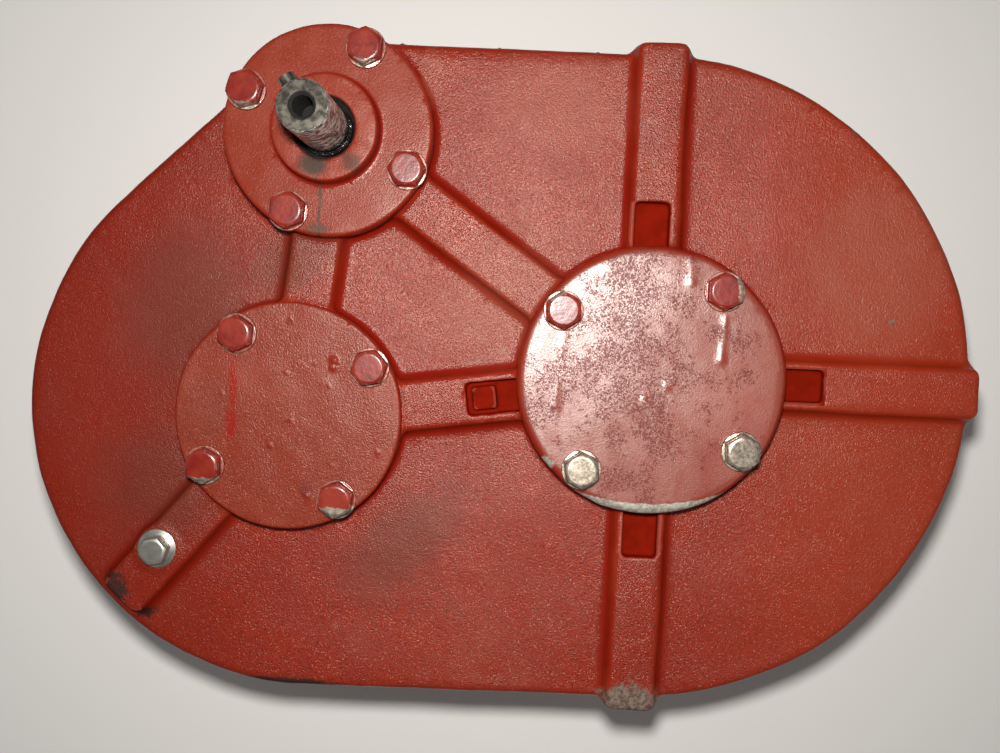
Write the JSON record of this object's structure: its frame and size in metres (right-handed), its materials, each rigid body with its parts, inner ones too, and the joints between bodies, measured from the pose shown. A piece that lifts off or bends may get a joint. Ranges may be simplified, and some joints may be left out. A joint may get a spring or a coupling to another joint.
{
  "type": "industrial gearbox",
  "caption": "Red cast-iron parallel-shaft reduction gearbox with a keyed input shaft, a hollow output shaft and bolted bearing covers on a ribbed case.",
  "frame": {"origin": "centre of the hollow output shaft's bore, on the case's rear mounting face", "axes": "+Z along the shafts and out of the front face, +X along the right-hand rib, +Y along the top rib"},
  "size_m": [0.546, 0.3878, 0.221],
  "materials": {
    "red_paint": "satin brushed-on red enamel over a sand-cast surface, worn at edges",
    "painted_fastener": "red enamel over zinc-plated steel, chipped at the corners",
    "zinc_plate": "dull zinc plate with handling marks",
    "shaft_steel": "ground steel, oily",
    "gear_steel": "hobbed and ground",
    "bearing_steel": "polished",
    "brass": "machined",
    "copper": "dull copper",
    "seal_rubber": "matte",
    "gasket_paper": "oiled paper"
  },
  "bodies": {
    "case": {"front_housing": "red_paint", "rear_housing": "red_paint", "housing_gasket": "gasket_paper", "flange_bolts": "painted_fastener", "flange_washers": "painted_fastener", "flange_nuts": "painted_fastener", "locating_dowels": "shaft_steel", "input_cover": "red_paint", "input_cover_gasket": "gasket_paper", "input_cover_bolts": "painted_fastener", "input_cover_washers": "painted_fastener", "intermediate_cap": "red_paint", "intermediate_cap_gasket": "gasket_paper", "intermediate_cap_bolts": "painted_fastener", "intermediate_cap_washers": "painted_fastener", "output_cover": "red_paint", "output_cover_gasket": "gasket_paper", "output_cover_bolts": "zinc_plate", "output_cover_washers": "zinc_plate", "input_shaft_seal": "seal_rubber", "output_shaft_seal": "seal_rubber", "level_plug": "zinc_plate", "level_plug_washer": "zinc_plate", "drain_plug": "zinc_plate", "drain_plug_washer": "copper", "breather_plug": "zinc_plate", "breather_washer": "copper", "input_bearing_outer_rings": "bearing_steel", "intermediate_bearing_outer_rings": "bearing_steel", "output_bearing_outer_rings": "bearing_steel"},
    "output_shaft_body": {"output_shaft": "shaft_steel", "output_gear": "gear_steel", "output_gear_key": "shaft_steel", "output_spacer": "shaft_steel", "output_circlip": "shaft_steel", "output_bearing_inner_rings": "bearing_steel"},
    "intermediate_shaft_body": {"intermediate_pinion_shaft": "shaft_steel", "intermediate_gear": "gear_steel", "intermediate_gear_key": "shaft_steel", "intermediate_spacer": "shaft_steel", "intermediate_bearing_inner_rings": "bearing_steel"},
    "input_shaft_body": {"input_pinion_shaft": "shaft_steel", "input_shaft_key": "shaft_steel", "input_bearing_inner_rings": "bearing_steel"},
    "output_ball_sets": {"output_bearing_balls": "bearing_steel", "output_bearing_cages": "brass"},
    "intermediate_ball_sets": {"intermediate_bearing_balls": "bearing_steel", "intermediate_bearing_cages": "brass"},
    "input_ball_sets": {"input_bearing_balls": "bearing_steel", "input_bearing_cages": "brass"}
  },
  "joints": [
    {"name": "output_spin", "type": "hinge", "parent": "case", "child": "output_shaft_body", "pos_m": [0, 0, 0], "axis": [0, 0, 1], "continuous": true},
    {"name": "intermediate_spin", "type": "hinge", "parent": "case", "child": "intermediate_shaft_body", "pos_m": [-0.19197, -0.028, 0], "axis": [0, 0, 1], "continuous": true},
    {"name": "input_spin", "type": "hinge", "parent": "case", "child": "input_shaft_body", "pos_m": [-0.17508, 0.12255, 0], "axis": [0, 0, 1], "continuous": true},
    {"name": "output_bearing_roll", "type": "hinge", "parent": "case", "child": "output_ball_sets", "pos_m": [0, 0, 0], "axis": [0, 0, 1], "continuous": true},
    {"name": "intermediate_bearing_roll", "type": "hinge", "parent": "case", "child": "intermediate_ball_sets", "pos_m": [-0.19197, -0.028, 0], "axis": [0, 0, 1], "continuous": true},
    {"name": "input_bearing_roll", "type": "hinge", "parent": "case", "child": "input_ball_sets", "pos_m": [-0.17508, 0.12255, 0], "axis": [0, 0, 1], "continuous": true}
  ],
  "couplings": [
    {"joint": "intermediate_spin", "follows": "output_spin", "ratio": -4.3889},
    {"joint": "input_spin", "follows": "output_spin", "ratio": 21.686},
    {"joint": "output_bearing_roll", "follows": "output_spin", "ratio": 0.43273},
    {"joint": "intermediate_bearing_roll", "follows": "output_spin", "ratio": -1.6792},
    {"joint": "input_bearing_roll", "follows": "output_spin", "ratio": 8.228}
  ]
}
